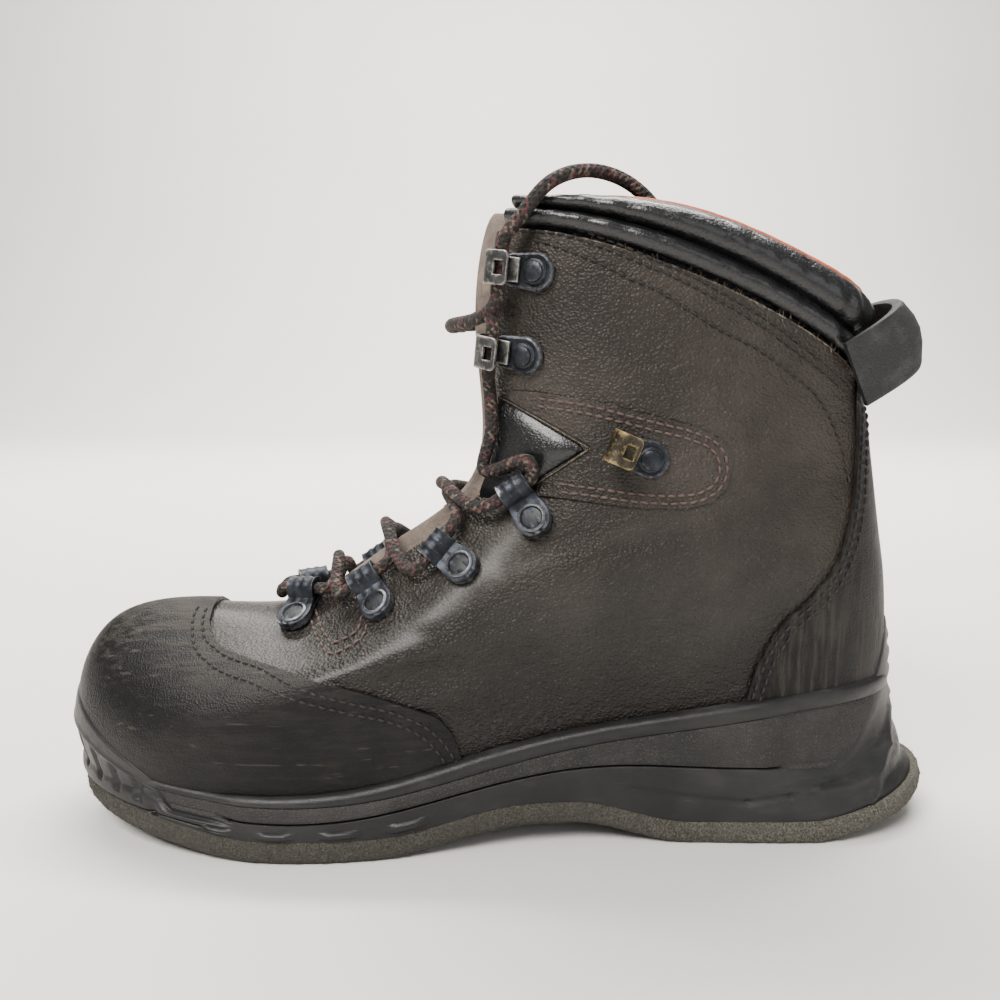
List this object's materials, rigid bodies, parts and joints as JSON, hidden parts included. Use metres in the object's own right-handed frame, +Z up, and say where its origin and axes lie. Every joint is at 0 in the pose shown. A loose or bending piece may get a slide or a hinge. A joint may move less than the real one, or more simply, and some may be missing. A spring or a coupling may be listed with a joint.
{
  "type": "wading boot",
  "caption": "Lace-up ankle boot for wading, with a padded collar, rubber toe bumper and heel cup, and a flat felt outsole.",
  "frame": {"origin": "on the floor under the middle of the heel's flat tread, midway between the two sides of the heel", "axes": "+X forward to the toe, +Y to the boot's left, its inner side, +Z up"},
  "size_m": [0.3275, 0.1086, 0.2339],
  "materials": {
    "felt": "pressed felt, grey-green with brown specks",
    "rubber": "moulded black rubber, satin, scuffed",
    "midsole": "grainy dark grey foam rubber",
    "leather": "waxed dark brown leather, fine grain, soft gloss",
    "overlay": "black abrasion-resistant overlay, scuffed matt",
    "pad": "soft black padded synthetic leather, glossy",
    "nubuck": "grey-tan brushed tongue cloth",
    "webbing": "woven black strap",
    "coated_metal": "blue-black coated steel, worn at the edges",
    "steel": "bare steel with a brass tint where the coat has worn off",
    "lace": "braided round lace, black with maroon flecks",
    "insole": "dark grey felted insole"
  },
  "bodies": {
    "root": {"ankle_insert_lateral": "pad", "ankle_insert_medial": "pad", "collar": "pad", "felt_outsole": "felt", "heel_counter": "overlay", "hook_lateral_1": "steel", "hook_lateral_2": "steel", "hook_lateral_3": "steel", "hook_medial_1": "steel", "hook_medial_2": "steel", "hook_medial_3": "steel", "hook_plate_lateral_1": "coated_metal", "hook_plate_lateral_2": "coated_metal", "hook_plate_lateral_3": "coated_metal", "hook_plate_medial_1": "coated_metal", "hook_plate_medial_2": "coated_metal", "hook_plate_medial_3": "coated_metal", "hook_rivet_lateral_1": "coated_metal", "hook_rivet_lateral_2": "coated_metal", "hook_rivet_lateral_3": "coated_metal", "hook_rivet_medial_1": "coated_metal", "hook_rivet_medial_2": "coated_metal", "hook_rivet_medial_3": "coated_metal", "insole": "insole", "lace_bar": "lace", "lace_crossing_1": "lace", "lace_crossing_2": "lace", "lace_crossing_3": "lace", "lace_crossing_4": "lace", "lace_end": "lace", "lace_loop_lateral_1": "coated_metal", "lace_loop_lateral_2": "coated_metal", "lace_loop_lateral_3": "coated_metal", "lace_loop_lateral_4": "coated_metal", "lace_loop_medial_1": "coated_metal", "lace_loop_medial_2": "coated_metal", "lace_loop_medial_3": "coated_metal", "lace_loop_medial_4": "coated_metal", "lace_run_lateral": "lace", "lace_run_medial": "lace", "loop_rivet_lateral_1": "coated_metal", "loop_rivet_lateral_2": "coated_metal", "loop_rivet_lateral_3": "coated_metal", "loop_rivet_lateral_4": "coated_metal", "loop_rivet_medial_1": "coated_metal", "loop_rivet_medial_2": "coated_metal", "loop_rivet_medial_3": "coated_metal", "loop_rivet_medial_4": "coated_metal", "midsole": "midsole", "pull_loop": "webbing", "rand": "rubber", "rubber_outsole": "rubber", "toe_cap": "overlay", "tongue": "nubuck", "upper": "leather"}
  },
  "joints": []
}
